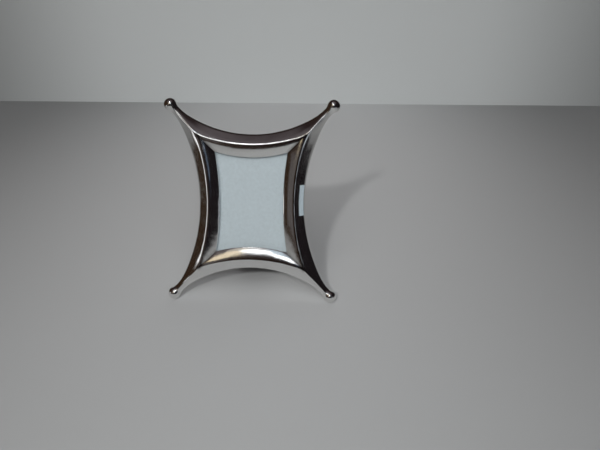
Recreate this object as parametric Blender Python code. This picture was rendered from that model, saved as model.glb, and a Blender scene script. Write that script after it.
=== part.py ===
"""Table number holder: a cast frame with four concave sides and ball-tipped horns, on an easel leg.

The holder is drawn upright, in the pose's own axes: X across, Z up the frame and -Y out of its front. The
ridge of the moulding lies in the plane Y = 0, so a depth is a positive Y. The empty "holder_pose" leans it
back and puts the two lower balls and the foot of the leg on Z = 0.
"""

import math

import bmesh
import bpy
from mathutils import Matrix, Vector

MM = 0.001
GAP = 0.3 * MM  # between pieces that touch
CUT_PAST = 1 * MM  # how far a cutter runs past the surface it cuts
MERGE = 0.001 * MM  # points closer than this are one point

# Pose
LEAN = math.radians(15)
LEG_OPENING = math.radians(30)

# Frame casting, half sizes on the front of the frame
BALL_CENTRE = Vector((62.5 * MM, 74.5 * MM))
BALL_RADIUS = 5 * MM
NECK_RADIUS = 3.4 * MM
NECK_FILLET = 9 * MM  # the hollow between the neck and the ball
RIDGE_CORNER = Vector((41.5 * MM, 52 * MM))
RIDGE_MIDDLE = Vector((33 * MM, 44.6 * MM))
WINDOW_CORNER = Vector((28 * MM, 39 * MM))
WINDOW_MIDDLE = Vector((24.7 * MM, 35 * MM))
OUTER_MIDDLE = Vector((41.2 * MM, 52.7 * MM))
OUTER_VIRTUAL_NECK = 2.1 * MM  # the arcs of the outside aim at this half width, then ease out to the neck

# Frame casting, depths behind the ridge
EDGE_DEPTH = 6.2 * MM
HORN_DEPTH = 6 * MM
BACK_DEPTH = 11 * MM
LIP_DEPTH = 2.8 * MM
REBATE_DEPTH = 4.3 * MM
CREST_SHARE = 0.19  # how round the ridge is, as a share of the slope's width
INNER_START = 0.3  # share of the inner slope's fall that is straight, and the rest steepens towards the lip
FLANK_ROUND = 0.16  # share of the flank's width where its outer edge starts to round over
WALL_ROUND = 0.25  # share of the wall's height that the rounding takes
WALL_MIDDLE = 0.6  # share of the wall's height with a row of points, and of the back's width with another
BACK_INNER = 0.3  # share of the back's width with one more row
BACK_ROUND = 0.05  # share of the wall and the back that their edge's chamfer takes
LIP_ROUND = 0.05  # share of the inner slope's width where the window's lip starts to round over
LIP_WALL = 0.4 * MM  # how far the lip's rounding runs down the window's wall
NECK_ROUNDNESS = 0.45  # how far the section has turned from roof to ring at the neck

# Frame casting, mesh
RIDGE_STEPS = 7
HORN_STEPS = 5
NECK_STEPS = 3
BALL_STEPS = 7
SLOPE_STEPS = 7
SLOPE_CROWDING = 1.6  # how much closer together the rows are at the crest
ROUND_STEPS = 3

# Stack behind the window
REBATE_HALF = Vector((32.3 * MM, 45.1 * MM))
PANE_HALF = Vector((31.9 * MM, 44.7 * MM))
CARD_HALF = Vector((31.75 * MM, 44.45 * MM))
PANE_THICKNESS = 2 * MM
CARD_THICKNESS = 0.4 * MM
FILLER_THICKNESS = 0.6 * MM
REBATE_CORNER = 1.5 * MM
CARD_CORNER = 1 * MM

# Turn buttons
BUTTON_PLACE = Vector((37.2 * MM, 22 * MM))
BUTTON_REACH = 9 * MM
BUTTON_END_RADIUS = 3.2 * MM
BUTTON_TIP_RADIUS = 2.1 * MM
BUTTON_THICKNESS = 0.8 * MM
SCREW_RADIUS = 1 * MM
SCREW_HEAD_RADIUS = 2.1 * MM
SCREW_HEAD_HEIGHT = 1.3 * MM
SCREW_LENGTH = 4.8 * MM
SLOT_WIDTH = 0.5 * MM
SLOT_DEPTH = 0.6 * MM
SCREW_HOLE_DEPTH = 4.2 * MM

# Leg hinge
PIN_HEIGHT = 20 * MM
KNUCKLE_RADIUS = 1.7 * MM
KNUCKLE_BORE = 1.05 * MM
PIN_RADIUS = 0.85 * MM
PIN_OVERHANG = 0.3 * MM
LEAF_THICKNESS = KNUCKLE_RADIUS - KNUCKLE_BORE
ROLL_SWEEP = 250  # how far each leaf is rolled round the pin, in degrees
UPPER_LEAF_WIDTH = 22 * MM
UPPER_LEAF_HEIGHT = 12 * MM
LOWER_KNUCKLE_WIDTH = 7.4 * MM
LOWER_LEAF_WIDTH = 16 * MM
LOWER_LEAF_HEIGHT = 13 * MM
STOP_HEIGHT = 5.5 * MM
RIVET_RADIUS = 0.9 * MM
RIVET_HEAD_RADIUS = 1.7 * MM
RIVET_HEAD_HEIGHT = 0.7 * MM
RIVET_LENGTH = 2.3 * MM
BOARD_RIVET_PLACE = Vector((7.5 * MM, 8 * MM))
LEG_RIVET_PLACE = Vector((5 * MM, -8.5 * MM))

# Leg
LEG_THICKNESS = 2.3 * MM
LEG_TOP_HALF = 11 * MM
LEG_FOOT_HALF = 17 * MM
LEG_TOP = -2.4 * MM
LEG_CORNER = 2 * MM
LEG_BACK = KNUCKLE_BORE - GAP  # from the pin, with the leg folded

# Label on the right flank
LABEL_MIDDLE = 2.5 * MM  # above the middle of the frame
LABEL_HALF_LENGTH = 11.9 * MM
LABEL_FROM = 0.5  # shares of the slope's width
LABEL_TO = 0.89
LABEL_THICKNESS = 0.15 * MM

BACK_PLANE = BACK_DEPTH
BUTTON_FRONT = BACK_PLANE + GAP
LEAF_FRONT = BACK_PLANE + GAP
PIN_DEPTH = LEAF_FRONT + KNUCKLE_RADIUS
UPPER_LEAF_BACK = LEAF_FRONT + LEAF_THICKNESS - PIN_DEPTH  # from the pin


# Scene and materials


def clear_scene():
    for obj in list(bpy.data.objects):
        bpy.data.objects.remove(obj, do_unlink=True)


def material(name, color, roughness, metallic=0.0, transmission=0.0):
    made = bpy.data.materials.new(name)
    made.use_nodes = True
    shader = made.node_tree.nodes["Principled BSDF"]
    shader.inputs["Base Color"].default_value = (*color, 1)
    shader.inputs["Roughness"].default_value = roughness
    shader.inputs["Metallic"].default_value = metallic
    shader.inputs["Transmission Weight"].default_value = transmission
    return made


# Mesh helpers


def add_object(name, mesh, look, parent, smooth_below=30):
    obj = bpy.data.objects.new(name, mesh)
    bpy.context.scene.collection.objects.link(obj)
    obj.parent = parent
    mesh.materials.append(look)
    mesh.shade_smooth()
    mesh.set_sharp_from_angle(angle=math.radians(smooth_below))
    return obj


def mesh_from_bmesh(name, made):
    bmesh.ops.recalc_face_normals(made, faces=made.faces)
    mesh = bpy.data.meshes.new(name)
    made.to_mesh(mesh)
    made.free()
    return mesh


def hidden_cutter(name, mesh, parent):
    obj = bpy.data.objects.new(name, mesh)
    bpy.context.scene.collection.objects.link(obj)
    obj.parent = parent
    obj.hide_render = True
    obj.display_type = "WIRE"
    return obj


def boolean(obj, other, operation):
    made = obj.modifiers.new(operation.lower() + "_" + other.name, "BOOLEAN")
    made.operation = operation
    made.object = other


def rounded_rectangle(half, corner, steps=3):
    """Outline points of a rectangle about the origin with arcs at its corners, counterclockwise."""
    points = []
    for quarter, (side_x, side_z) in enumerate(((1, 1), (-1, 1), (-1, -1), (1, -1))):
        centre = Vector((side_x * (half.x - corner), side_z * (half.y - corner)))
        for step in range(steps + 1):
            angle = math.pi / 2 * (quarter + step / steps)
            points.append(centre + corner * Vector((math.cos(angle), math.sin(angle))))
    return points


def slab_mesh(name, outline, depth, thickness):
    """A flat piece with its outline in X and Z, from depth to depth + thickness along Y."""
    made = bmesh.new()
    front = [made.verts.new((p.x, depth, p.y)) for p in outline]
    face = made.faces.new(front)
    grown = bmesh.ops.extrude_face_region(made, geom=[face])["geom"]
    moved = [item for item in grown if isinstance(item, bmesh.types.BMVert)]
    bmesh.ops.translate(made, verts=moved, vec=(0, thickness, 0))
    return mesh_from_bmesh(name, made)


def turned_mesh(name, profile, steps=20):
    """A solid turned about Y. The profile's points are (radius, depth), from axis to axis."""
    made = bmesh.new()
    points = [made.verts.new((radius, depth, 0)) for radius, depth in profile]
    edges = [made.edges.new(pair) for pair in zip(points, points[1:])]
    bmesh.ops.spin(
        made, geom=points + edges, cent=(0, 0, 0), axis=(0, 1, 0), angle=2 * math.pi, steps=steps
    )
    bmesh.ops.remove_doubles(made, verts=made.verts, dist=MERGE)
    return mesh_from_bmesh(name, made)


def cylinder_mesh(name, radius, start, end, axis, steps=20):
    """A cylinder along "X" or "Y" from start to end."""
    made = bmesh.new()
    bmesh.ops.create_cone(
        made, cap_ends=True, segments=steps, radius1=radius, radius2=radius, depth=end - start
    )
    turn = Matrix.Rotation(math.pi / 2, 4, "Y") if axis == "X" else Matrix.Rotation(-math.pi / 2, 4, "X")
    bmesh.ops.transform(made, verts=made.verts, matrix=turn)
    middle = (start + end) / 2
    bmesh.ops.translate(made, verts=made.verts, vec=(middle, 0, 0) if axis == "X" else (0, middle, 0))
    return mesh_from_bmesh(name, made)


def bar_mesh(name, outline, half):
    """A bar along X, from -half to half, whose section is the outline in Y and Z."""
    made = bmesh.new()
    end = [made.verts.new((-half, p.x, p.y)) for p in outline]
    face = made.faces.new(end)
    grown = bmesh.ops.extrude_face_region(made, geom=[face])["geom"]
    moved = [item for item in grown if isinstance(item, bmesh.types.BMVert)]
    bmesh.ops.translate(made, verts=moved, vec=(2 * half, 0, 0))
    return mesh_from_bmesh(name, made)


def box_mesh(name, low, high):
    made = bmesh.new()
    bmesh.ops.create_cube(made, size=1)
    size = [b - a for a, b in zip(low, high)]
    bmesh.ops.scale(made, verts=made.verts, vec=size)
    bmesh.ops.translate(made, verts=made.verts, vec=[(a + b) / 2 for a, b in zip(low, high)])
    return mesh_from_bmesh(name, made)


# Shape of the frame casting


def blend(a, b, share):
    return a + (b - a) * share


def ease(share):
    return share * share * (3 - 2 * share)


NECK_TO_BALL = math.sqrt((BALL_RADIUS + NECK_FILLET) ** 2 - (NECK_RADIUS + NECK_FILLET) ** 2)
HORN_AXIS = (BALL_CENTRE - RIDGE_CORNER).normalized()
NECK_CENTRE = BALL_CENTRE - NECK_TO_BALL * HORN_AXIS


def swap(point):
    return Vector((point.y, point.x))


class Side:
    """Half of one side of the frame, from its middle to the horn.

    It is written for the top side, whose curves run along x at a height y. The right side is the same with
    x and y exchanged, so its half sizes are given to it exchanged.
    """

    def __init__(self, exchanged):
        order = swap if exchanged else Vector
        self.exchanged = exchanged
        self.ridge_corner = order(RIDGE_CORNER)
        self.window_corner = order(WINDOW_CORNER)
        self.ridge_height = order(RIDGE_MIDDLE).y
        self.window_height = order(WINDOW_MIDDLE).y
        self.outer_height = order(OUTER_MIDDLE).y
        self.neck_centre = order(NECK_CENTRE)
        self.horn_axis = order(HORN_AXIS)
        self.outwards = Vector((-self.horn_axis.y, self.horn_axis.x))
        self.set_outer_arc()

    def set_outer_arc(self):
        """The arc of the outside passes through the middle and just inside the neck's edge."""
        end = self.neck_centre + OUTER_VIRTUAL_NECK * self.outwards
        sagitta = end.y - self.outer_height
        self.outer_radius = (end.x**2 + sagitta**2) / (2 * sagitta)
        self.outer_centre = Vector((0, self.outer_height + self.outer_radius))
        to_corner = self.ridge_corner - self.outer_centre
        self.corner_angle = math.atan2(to_corner.x, -to_corner.y)

    def arc_point(self, angle):
        return self.outer_centre + self.outer_radius * Vector((math.sin(angle), -math.cos(angle)))

    def sagged(self, corner, middle_height, share):
        """A point of the arc through the middle height and the corner, this share of the way along."""
        sagitta = corner.y - middle_height
        radius = (corner.x**2 + sagitta**2) / (2 * sagitta)
        angle = share * math.asin(corner.x / radius)
        return Vector((radius * math.sin(angle), middle_height + radius * (1 - math.cos(angle))))

    def ridge(self, share):
        return self.sagged(self.ridge_corner, self.ridge_height, share)

    def window(self, share):
        return self.sagged(self.window_corner, self.window_height, share)

    def outer(self, share):
        return self.arc_point(share * self.corner_angle)

    def horn_edge(self, share):
        """The outside along the horn, from the arc at the ridge's corner to parallel sides at the neck."""
        start = self.arc_point(self.corner_angle)
        direction = Vector((math.cos(self.corner_angle), math.sin(self.corner_angle)))
        from_neck = start - self.neck_centre
        run = -from_neck.dot(self.horn_axis)
        half_width = from_neck.dot(self.outwards)
        slope = direction.dot(self.outwards) / direction.dot(self.horn_axis) * run
        rest = 1 - share
        width = (
            half_width * (1 + 2 * share) * rest**2
            + slope * share * rest**2
            + NECK_RADIUS * share**2 * (3 - 2 * share)
        )
        return self.neck_centre - rest * run * self.horn_axis + width * self.outwards

    def place(self, point, depth):
        """The 3-D point, in the quarter with x and z positive."""
        x, z = (point.y, point.x) if self.exchanged else (point.x, point.y)
        return Vector((x, depth, z))


TOP_SIDE = Side(False)
RIGHT_SIDE = Side(True)


def crest(share):
    """The fall from a rounded crest, from 0 at the crest to 1 at share 1, with a level start."""
    return (math.hypot(share, CREST_SHARE) - CREST_SHARE) / (math.hypot(1, CREST_SHARE) - CREST_SHARE)


def crest_slope(share):
    return share / math.hypot(share, CREST_SHARE) / (math.hypot(1, CREST_SHARE) - CREST_SHARE)


def slope_shares(end):
    """Shares of a slope's width, closer together at the crest."""
    return [end * (step / SLOPE_STEPS) ** SLOPE_CROWDING for step in range(SLOPE_STEPS + 1)]


def curve_through(start, control, end, steps):
    """Points of a quadratic Bezier after its start."""
    points = []
    for step in range(1, steps + 1):
        t = step / steps
        points.append(start * (1 - t) ** 2 + control * 2 * t * (1 - t) + end * t * t)
    return points


def outer_half_section():
    """Half a section as (share across, height), from the crest (0, 1) to the middle of the back (0, -1)."""
    points = [Vector((share, 1 - crest(share))) for share in slope_shares(1 - FLANK_ROUND)]
    start = points[-1]
    control = Vector((1, start.y - FLANK_ROUND * crest_slope(start.x)))
    points += curve_through(start, control, Vector((1, -WALL_ROUND)), ROUND_STEPS)
    points += [Vector((1, -WALL_MIDDLE)), Vector((1, -1 + BACK_ROUND)), Vector((1 - BACK_ROUND, -1))]
    points += [Vector((WALL_MIDDLE, -1)), Vector((BACK_INNER, -1)), Vector((0, -1))]
    return points


OUTER_SECTION = outer_half_section()
ROUND_SECTION = [point.normalized() for point in OUTER_SECTION]


def inner_half_section():
    """The inner slope, the window's wall and the back, as (share across, depth)."""

    def fall(share):
        return LIP_DEPTH * (INNER_START * crest(share) + (1 - INNER_START) * share**2)

    points = [Vector((share, fall(share))) for share in slope_shares(1 - LIP_ROUND)]
    control = Vector((1, fall(1)))
    points += curve_through(points[-1], control, Vector((1, LIP_DEPTH + LIP_WALL)), 2)
    points += [Vector((1, BACK_DEPTH)), Vector((0.5, BACK_DEPTH)), Vector((0, BACK_DEPTH))]
    return points


INNER_SECTION = inner_half_section()


def section_points(side, crest_at, edge_at, roundness, edge_depth, front, back):
    """Points of the outer half section between a crest and an edge, with its depths to the front and back."""
    points = []
    for roof, ring in zip(OUTER_SECTION, ROUND_SECTION):
        shape = roof.lerp(ring, roundness)
        height = shape.y * (front if shape.y > 0 else back)
        points.append(side.place(blend(crest_at, edge_at, shape.x), edge_depth - height))
    return points


def side_stations(side):
    """Outer half sections from the middle of the side to the neck."""
    stations = []
    for step in range(RIDGE_STEPS + 1):
        share = step / RIDGE_STEPS
        back = BACK_DEPTH - EDGE_DEPTH
        stations.append(
            section_points(side, side.ridge(share), side.outer(share), 0, EDGE_DEPTH, EDGE_DEPTH, back)
        )
    for step in range(1, HORN_STEPS + 1):
        share = step / HORN_STEPS
        eased = ease(share)
        depth = blend(EDGE_DEPTH, HORN_DEPTH, eased)
        front = blend(EDGE_DEPTH, NECK_RADIUS, eased)
        back = blend(BACK_DEPTH - EDGE_DEPTH, NECK_RADIUS, eased)
        crest_at = blend(side.ridge_corner, side.neck_centre, share)
        stations.append(
            section_points(
                side, crest_at, side.horn_edge(share), NECK_ROUNDNESS * eased, depth, front, back
            )
        )
    return stations


def inner_stations(side):
    stations = []
    for step in range(RIDGE_STEPS + 1):
        share = step / RIDGE_STEPS
        ridge, window = side.ridge(share), side.window(share)
        stations.append([side.place(blend(ridge, window, p.x), p.y) for p in INNER_SECTION])
    return stations


def tip_stations(side):
    """Outer half sections from the neck, through its hollow fillet and over the ball, and the ball's pole."""
    join = math.asin(NECK_TO_BALL / (BALL_RADIUS + NECK_FILLET))
    profile = []
    for step in range(NECK_STEPS + 1):
        share = step / NECK_STEPS
        angle = join * share
        radius = NECK_RADIUS + NECK_FILLET * (1 - math.cos(angle))
        profile.append((NECK_FILLET * math.sin(angle), radius, blend(NECK_ROUNDNESS, 1, ease(share))))
    for step in range(1, BALL_STEPS):
        angle = blend(math.pi / 2 - join, math.pi, step / BALL_STEPS)
        profile.append((NECK_TO_BALL - BALL_RADIUS * math.cos(angle), BALL_RADIUS * math.sin(angle), 1))
    stations = []
    for past_neck, radius, roundness in profile:
        centre = side.neck_centre + past_neck * side.horn_axis
        edge = centre + radius * side.outwards
        stations.append(section_points(side, centre, edge, roundness, HORN_DEPTH, radius, radius))
    pole = side.place(side.neck_centre + (NECK_TO_BALL + BALL_RADIUS) * side.horn_axis, HORN_DEPTH)
    return stations, pole


def add_strip(made, stations, signs):
    """Quads between neighbouring stations, mirrored by the signs."""
    rows = [[made.verts.new((p.x * signs.x, p.y, p.z * signs.y)) for p in station] for station in stations]
    for first, second in zip(rows, rows[1:]):
        for i in range(len(first) - 1):
            made.faces.new((first[i], second[i], second[i + 1], first[i + 1]))
    return rows[-1]


def add_pole(made, ring, pole, signs):
    tip = made.verts.new((pole.x * signs.x, pole.y, pole.z * signs.y))
    for a, b in zip(ring, ring[1:]):
        made.faces.new((a, tip, b))


def frame_mesh():
    made = bmesh.new()
    for signs in (Vector((1, 1)), Vector((-1, 1)), Vector((-1, -1)), Vector((1, -1))):
        for side in (TOP_SIDE, RIGHT_SIDE):
            add_strip(made, side_stations(side), signs)
            add_strip(made, inner_stations(side), signs)
            tip, pole = tip_stations(side)
            add_pole(made, add_strip(made, tip, signs), pole, signs)
    bmesh.ops.remove_doubles(made, verts=made.verts, dist=MERGE)
    return mesh_from_bmesh("frame_casting", made)


def make_frame(parent, look):
    frame = add_object("frame_casting", frame_mesh(), look, parent)
    depth = BACK_DEPTH - REBATE_DEPTH + CUT_PAST
    outline = rounded_rectangle(REBATE_HALF, REBATE_CORNER)
    rebate = hidden_cutter("rebate_cutter", slab_mesh("rebate_cutter", outline, REBATE_DEPTH, depth), parent)
    boolean(frame, rebate, "DIFFERENCE")
    start = BACK_DEPTH - SCREW_HOLE_DEPTH
    mesh = cylinder_mesh("screw_hole_cutter", SCREW_RADIUS + GAP, start, BACK_DEPTH + CUT_PAST, "Y", 12)
    for name, x, z in button_places():
        hole = hidden_cutter("screw_hole_cutter_" + name, mesh, parent)
        hole.location = (x, 0, z)
        boolean(frame, hole, "DIFFERENCE")


# Stack behind the window


def make_stack(parent, glass, card, filler, velvet):
    depth = REBATE_DEPTH + GAP
    pane = slab_mesh("glass_pane", rounded_rectangle(PANE_HALF, CARD_CORNER, 1), depth, PANE_THICKNESS)
    add_object("glass_pane", pane, glass, parent)
    depth += PANE_THICKNESS + GAP
    sheet = slab_mesh("number_card", rounded_rectangle(CARD_HALF, CARD_CORNER), depth, CARD_THICKNESS)
    add_object("number_card", sheet, card, parent)
    depth += CARD_THICKNESS + GAP
    spacer = slab_mesh("filler_card", rounded_rectangle(CARD_HALF, CARD_CORNER), depth, FILLER_THICKNESS)
    add_object("filler_card", spacer, filler, parent)
    depth += FILLER_THICKNESS + GAP
    outline = rounded_rectangle(PANE_HALF, REBATE_CORNER)
    board_mesh = slab_mesh("back_board", outline, depth, BACK_PLANE - depth)
    board = add_object("back_board", board_mesh, velvet, parent)
    drill_rivet_holes(board, parent, "board", BOARD_RIVET_PLACE + Vector((0, PIN_HEIGHT)), BACK_PLANE)


def drill_rivet_holes(obj, parent, name, place, surface):
    """Two blind holes for rivets, going in towards the front from a surface that faces backwards."""
    start = surface - (RIVET_LENGTH - GAP - LEAF_THICKNESS)
    mesh = cylinder_mesh(name + "_rivet_cutter", RIVET_RADIUS + GAP, start, surface + CUT_PAST, "Y", 12)
    for side, label in ((-1, "left"), (1, "right")):
        hole = hidden_cutter(f"{name}_rivet_cutter_{label}", mesh, parent)
        hole.location = (side * place.x, 0, place.y)
        boolean(obj, hole, "DIFFERENCE")


# Turn buttons


def button_places():
    """Name and place of each turn button's screw."""
    return [
        (f"{height}_{side}", x * BUTTON_PLACE.x, z * BUTTON_PLACE.y)
        for z, height in ((1, "upper"), (-1, "lower"))
        for x, side in ((-1, "left"), (1, "right"))
    ]


def button_outline(steps=8):
    """A pear: a round end about the screw and a smaller round tip, joined by the lines that touch both."""
    tip = BUTTON_REACH - BUTTON_TIP_RADIUS
    lean = math.acos((BUTTON_END_RADIUS - BUTTON_TIP_RADIUS) / tip)
    points = []
    for step in range(steps + 1):
        angle = -lean + 2 * lean * step / steps
        points.append(Vector((tip, 0)) + BUTTON_TIP_RADIUS * Vector((math.cos(angle), math.sin(angle))))
    for step in range(steps + 1):
        angle = lean + 2 * (math.pi - lean) * step / steps
        points.append(BUTTON_END_RADIUS * Vector((math.cos(angle), math.sin(angle))))
    return points


def screw_profile(surface):
    """Pan head on the side of the back, shank towards the front."""
    head = surface + SCREW_HEAD_HEIGHT
    crown = 0.6 * SCREW_HEAD_RADIUS
    return [
        (0, head),
        (crown, head - 0.12 * SCREW_HEAD_HEIGHT),
        (0.9 * SCREW_HEAD_RADIUS, head - 0.45 * SCREW_HEAD_HEIGHT),
        (SCREW_HEAD_RADIUS, head - 0.8 * SCREW_HEAD_HEIGHT),
        (SCREW_HEAD_RADIUS, surface),
        (SCREW_RADIUS, surface),
        (SCREW_RADIUS, surface - SCREW_LENGTH + SCREW_RADIUS / 2),
        (SCREW_RADIUS / 2, surface - SCREW_LENGTH),
        (0, surface - SCREW_LENGTH),
    ]


def make_buttons(parent, steel):
    surface = BUTTON_FRONT + BUTTON_THICKNESS + GAP
    hole_mesh = cylinder_mesh("button_cutter", SCREW_RADIUS + GAP, 0, surface + CUT_PAST, "Y", 16)
    for name, x, z in button_places():
        mesh = slab_mesh("turn_button", button_outline(), BUTTON_FRONT, BUTTON_THICKNESS)
        button = add_object("turn_button_" + name, mesh, steel, parent)
        button.location = (x, 0, z)
        button.rotation_euler = (0, 0 if x < 0 else math.pi, 0)
        hole = hidden_cutter("button_cutter_" + name, hole_mesh, button)
        boolean(button, hole, "DIFFERENCE")
        screw_mesh = turned_mesh("button_screw", screw_profile(surface))
        screw = add_object("button_screw_" + name, screw_mesh, steel, parent)
        screw.location = (x, 0, z)
        head = surface + SCREW_HEAD_HEIGHT
        low = (-2 * SCREW_HEAD_RADIUS, head - SLOT_DEPTH, -SLOT_WIDTH / 2)
        high = (2 * SCREW_HEAD_RADIUS, head + CUT_PAST, SLOT_WIDTH / 2)
        slot = hidden_cutter("slot_cutter_" + name, box_mesh("slot_cutter", low, high), screw)
        slot.rotation_euler = (0, math.radians(35) * (1 if x * z > 0 else -1), 0)
        boolean(screw, slot, "DIFFERENCE")


# Hinge and leg, drawn about the pin with the leg folded


def arc(radius, start, end, steps):
    """Points about the pin, at angles in degrees that run from the back (0) over the top (90)."""
    angles = [math.radians(blend(start, end, step / steps)) for step in range(steps + 1)]
    return [radius * Vector((math.cos(angle), math.sin(angle))) for angle in angles]


def make_upper_leaf(parent, steel):
    """Riveted to the board, and rolled about the pin each side of the lower leaf's knuckle."""
    half = UPPER_LEAF_WIDTH / 2
    outline = [Vector((-KNUCKLE_RADIUS, UPPER_LEAF_HEIGHT))]
    outline += arc(KNUCKLE_RADIUS, 180, 180 + ROLL_SWEEP, 16)
    outline += arc(KNUCKLE_BORE, 180 + ROLL_SWEEP, 180, 16)
    outline += [Vector((-KNUCKLE_BORE, UPPER_LEAF_HEIGHT))]
    leaf = add_object("hinge_upper_leaf", bar_mesh("hinge_upper_leaf", outline, half), steel, parent)
    notch = LOWER_KNUCKLE_WIDTH / 2 + GAP
    clear = KNUCKLE_RADIUS + GAP
    mesh = box_mesh("notch", (-notch, -2 * clear, -clear), (notch, 2 * clear, clear))
    boolean(leaf, hidden_cutter("upper_leaf_notch", mesh, parent), "DIFFERENCE")
    drill_leaf(leaf, parent, "upper_leaf", BOARD_RIVET_PLACE)


def make_lower_leaf(parent, steel):
    """Riveted to the back of the leg and rolled about the pin.

    A tongue stands out of the roll. With the leg open, it lies along the upper leaf and stops the leg.
    """
    half = LOWER_LEAF_WIDTH / 2
    opening = math.degrees(LEG_OPENING)
    front = UPPER_LEAF_BACK + GAP
    tongue_front = math.degrees(math.acos(front / KNUCKLE_RADIUS))
    turn = Matrix.Rotation(-LEG_OPENING, 2)
    outline = [Vector((KNUCKLE_RADIUS, -LOWER_LEAF_HEIGHT))]
    outline += arc(KNUCKLE_RADIUS, 0, 90 - opening, 4)
    outline += [turn @ Vector((0, STOP_HEIGHT)), turn @ Vector((front, STOP_HEIGHT))]
    outline += arc(KNUCKLE_RADIUS, tongue_front - opening, ROLL_SWEEP, 12)
    outline += arc(KNUCKLE_BORE, ROLL_SWEEP, 0, 16)
    outline += [Vector((KNUCKLE_BORE, -LOWER_LEAF_HEIGHT))]
    leaf = add_object("hinge_lower_leaf", bar_mesh("hinge_lower_leaf", outline, half), steel, parent)
    knuckle = LOWER_KNUCKLE_WIDTH / 2
    shoulder = -KNUCKLE_RADIUS - GAP
    for side, name in ((-1, "left"), (1, "right")):
        low, high = sorted((side * knuckle, side * 2 * half))
        mesh = box_mesh("shoulder", (low, -STOP_HEIGHT, shoulder), (high, 2 * STOP_HEIGHT, 2 * STOP_HEIGHT))
        boolean(leaf, hidden_cutter("shoulder_cutter_" + name, mesh, parent), "DIFFERENCE")
    drill_leaf(leaf, parent, "lower_leaf", LEG_RIVET_PLACE)


def drill_leaf(leaf, parent, name, place):
    reach = KNUCKLE_RADIUS + CUT_PAST
    mesh = cylinder_mesh(name + "_hole", RIVET_RADIUS + GAP, -reach, reach, "Y", 12)
    for side, label in ((-1, "left"), (1, "right")):
        hole = hidden_cutter(f"{name}_hole_{label}", mesh, parent)
        hole.location = (side * place.x, 0, place.y)
        boolean(leaf, hole, "DIFFERENCE")


def make_pin(parent, steel):
    half = UPPER_LEAF_WIDTH / 2 + PIN_OVERHANG
    add_object("hinge_pin", cylinder_mesh("hinge_pin", PIN_RADIUS, -half, half, "X", 24), steel, parent)


def rivet_profile(surface):
    head = surface + RIVET_HEAD_HEIGHT
    return [
        (0, head),
        (0.55 * RIVET_HEAD_RADIUS, head - 0.2 * RIVET_HEAD_HEIGHT),
        (0.88 * RIVET_HEAD_RADIUS, head - 0.6 * RIVET_HEAD_HEIGHT),
        (RIVET_HEAD_RADIUS, surface),
        (RIVET_RADIUS, surface),
        (RIVET_RADIUS, surface - RIVET_LENGTH),
        (0, surface - RIVET_LENGTH),
    ]


def make_rivets(parent, steel, name, place, surface):
    for side, label in ((-1, "left"), (1, "right")):
        mesh = turned_mesh(name, rivet_profile(surface), 16)
        rivet = add_object(f"{name}_{label}", mesh, steel, parent)
        rivet.location = (side * place.x, 0, place.y)


def leg_foot_depth():
    """How far below the pin, along the leg, the middle of its foot meets the ground."""
    return pin_height() / math.cos(LEG_OPENING - LEAN)


def leg_outline():
    """The leg's face, with its foot long enough to be cut to the ground."""
    foot = -leg_foot_depth() - LEG_THICKNESS
    points = [Vector((-LEG_FOOT_HALF, foot)), Vector((LEG_FOOT_HALF, foot))]
    for side, first in ((1, 0), (-1, math.pi / 2)):
        centre = Vector((side * (LEG_TOP_HALF - LEG_CORNER), LEG_TOP - LEG_CORNER))
        for step in range(4):
            angle = first + math.pi / 2 * step / 3
            points.append(centre + LEG_CORNER * Vector((math.cos(angle), math.sin(angle))))
    return points


def make_leg(parent, velvet):
    mesh = slab_mesh("easel_leg", leg_outline(), LEG_BACK - LEG_THICKNESS, LEG_THICKNESS)
    leg = add_object("easel_leg", mesh, velvet, parent)
    # The ground, as a block turned into the leg's own pose, cuts the foot level.
    size = 2 * BALL_CENTRE.y
    ground = box_mesh("ground_cutter", (-size, -size, -size), (size, size, 0))
    ground.transform(
        Matrix.Rotation(LEAN - LEG_OPENING, 4, "X") @ Matrix.Translation((0, 0, -pin_height()))
    )
    boolean(leg, hidden_cutter("ground_cutter", ground, parent), "DIFFERENCE")
    drill_rivet_holes(leg, parent, "leg", LEG_RIVET_PLACE, LEG_BACK)


# Label


def make_label(parent, paper):
    """A strip of paper on the outer slope of the right side, bent to the slope."""
    side = RIGHT_SIDE
    made = bmesh.new()
    rows = []
    steps = 10
    shares = [blend(LABEL_FROM, LABEL_TO, i / 4) for i in range(5)]
    for lift in (GAP, GAP + LABEL_THICKNESS):
        layer = []
        for step in range(steps + 1):
            z = LABEL_MIDDLE + blend(-LABEL_HALF_LENGTH, LABEL_HALF_LENGTH, step / steps)
            layer.append([label_point(side, z, share, lift) for share in shares])
        rows.append(layer)
    grid = [[[made.verts.new(p) for p in line] for line in layer] for layer in rows]
    for step in range(steps):
        for i in range(len(shares) - 1):
            for layer in grid:
                a, b = layer[step], layer[step + 1]
                made.faces.new((a[i], a[i + 1], b[i + 1], b[i]))
    for step in range(steps):
        for i in (0, len(shares) - 1):
            low, high = grid[0], grid[1]
            made.faces.new((low[step][i], low[step + 1][i], high[step + 1][i], high[step][i]))
    for i in range(len(shares) - 1):
        for step in (0, steps):
            low, high = grid[0][step], grid[1][step]
            made.faces.new((low[i], low[i + 1], high[i + 1], high[i]))
    add_object("side_label", mesh_from_bmesh("side_label", made), paper, parent)


def label_point(side, z, share, lift):
    """A point this far off the slope's surface, at a height z and a share of the slope's width."""
    along = abs(z)
    angle = math.asin(along / side.outer_radius)
    corner = side.ridge_corner
    position = min(1, angle / side.corner_angle)
    ridge, outer = side.ridge(position), side.outer(position)
    width = (outer - ridge).length
    steep = EDGE_DEPTH * crest_slope(share) / width
    normal = Vector((steep, 1)).normalized()
    x = blend(ridge.y, outer.y, share) + lift * normal.x
    return Vector((x, EDGE_DEPTH * crest(share) - lift * normal.y, z))


# Pose


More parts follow.
